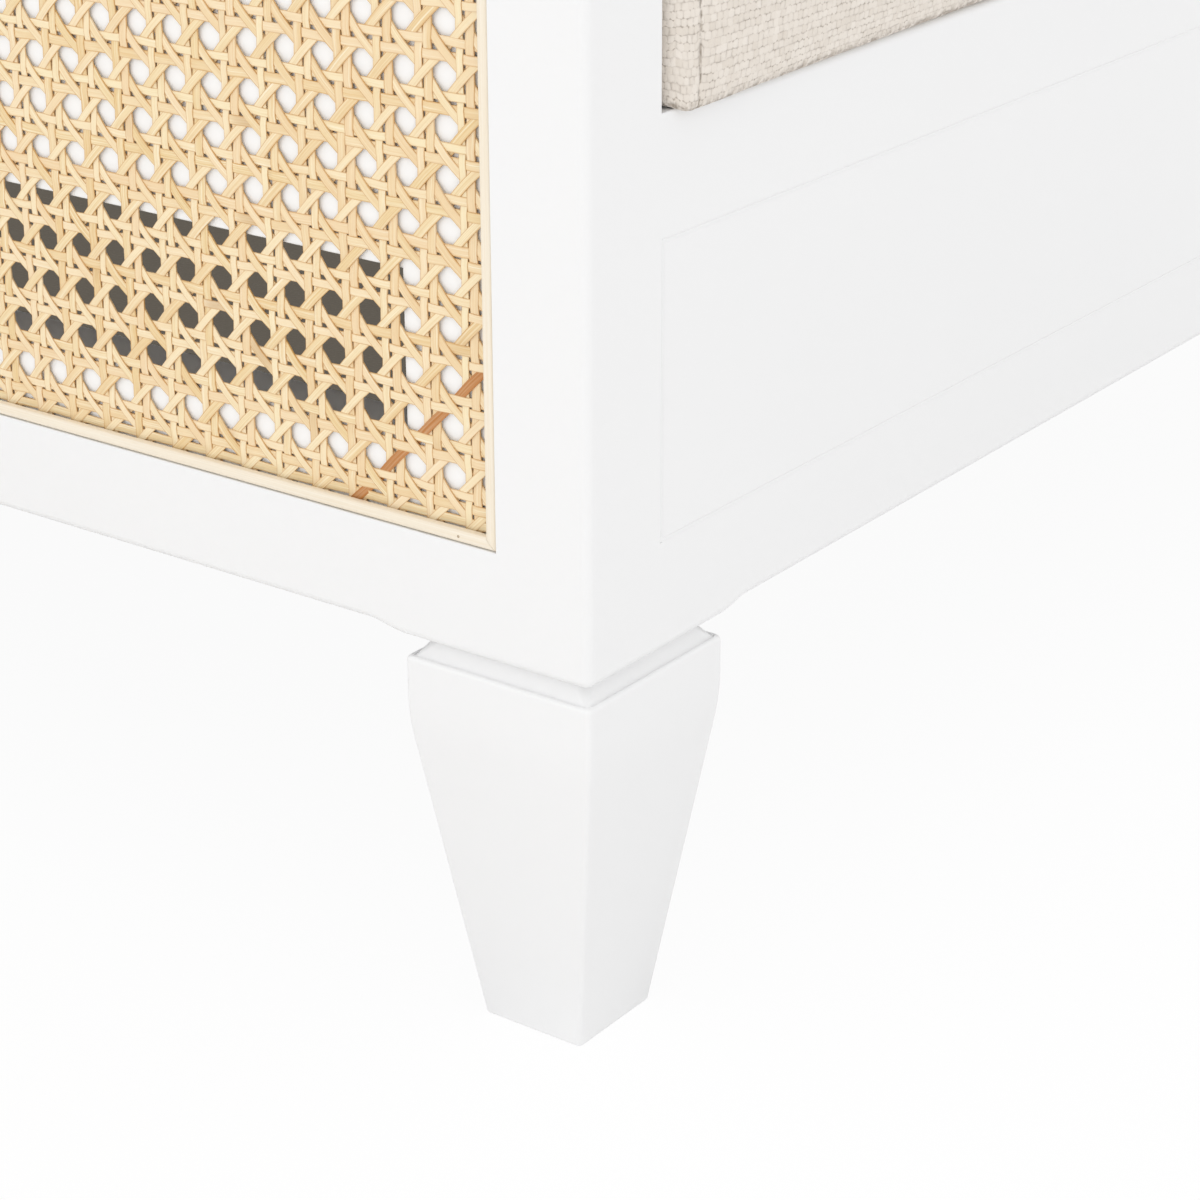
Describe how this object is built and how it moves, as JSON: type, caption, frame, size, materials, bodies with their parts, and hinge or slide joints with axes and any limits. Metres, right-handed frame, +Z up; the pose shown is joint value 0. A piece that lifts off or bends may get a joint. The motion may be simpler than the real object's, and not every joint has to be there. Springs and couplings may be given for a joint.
{
  "type": "club chair",
  "caption": "Low square-framed club chair: painted wood frame with woven cane sides and back, tapered square legs, loose boxed seat and back cushions.",
  "frame": {"origin": "on the floor under the middle of the chair", "axes": "+Z up, the chair faces -Y, +X is to the right as seen from the front"},
  "size_m": [0.72, 0.76, 0.8097],
  "materials": {
    "white_paint": "satin white paint over wood",
    "bare_wood": "sawn, unfinished",
    "bead_wood": "pale sanded wood, clear satin lacquer",
    "cane": "natural split cane, slight gloss",
    "basket_weave_cloth": "coarse basket-weave linen cloth",
    "foam": "upholstery foam",
    "deck_felt": "felted deck pad",
    "black_cloth": "thin non-woven dust cloth",
    "steel": "drawn steel"
  },
  "bodies": {
    "frame": {"arm_rail_left": "white_paint", "arm_rail_right": "white_paint", "back_bottom_rail": "white_paint", "bead_back_bottom": "bead_wood", "bead_back_left": "bead_wood", "bead_back_right": "bead_wood", "bead_back_top": "bead_wood", "bead_left_bottom": "bead_wood", "bead_left_front": "bead_wood", "bead_left_rear": "bead_wood", "bead_left_top": "bead_wood", "bead_right_bottom": "bead_wood", "bead_right_front": "bead_wood", "bead_right_rear": "bead_wood", "bead_right_top": "bead_wood", "bottom_rail_left": "white_paint", "bottom_rail_right": "white_paint", "cane_back": "cane", "cane_left": "cane", "cane_right": "cane", "crest_rail": "white_paint", "deck_pad": "deck_felt", "dust_cover": "black_cloth", "front_post_left": "white_paint", "front_post_right": "white_paint", "front_rail": "white_paint", "front_spring_cleat": "bare_wood", "leg_bolt_front_left": "steel", "leg_bolt_front_right": "steel", "leg_bolt_rear_left": "steel", "leg_bolt_rear_right": "steel", "leg_front_left": "white_paint", "leg_front_right": "white_paint", "leg_rear_left": "white_paint", "leg_rear_right": "white_paint", "rear_post_left": "white_paint", "rear_post_right": "white_paint", "rear_spring_cleat": "bare_wood", "seat_back_rail": "white_paint", "seat_rail_left": "white_paint", "seat_rail_right": "white_paint", "seat_spring_1": "steel", "seat_spring_2": "steel", "seat_spring_3": "steel", "seat_spring_4": "steel", "seat_spring_5": "steel"},
    "seat_cushion": {"seat_cushion_cover": "basket_weave_cloth", "seat_cushion_core": "foam"},
    "back_cushion": {"back_cushion_cover": "basket_weave_cloth", "back_cushion_core": "foam"}
  },
  "joints": [
    {"name": "seat_cushion_pull", "type": "slide", "parent": "frame", "child": "seat_cushion", "axis": [0, -1, 0], "range_m": [0, 0.74]},
    {"name": "back_cushion_lift", "type": "slide", "parent": "frame", "child": "back_cushion", "axis": [0, 0, 1], "range_m": [0, 0.42]}
  ]
}
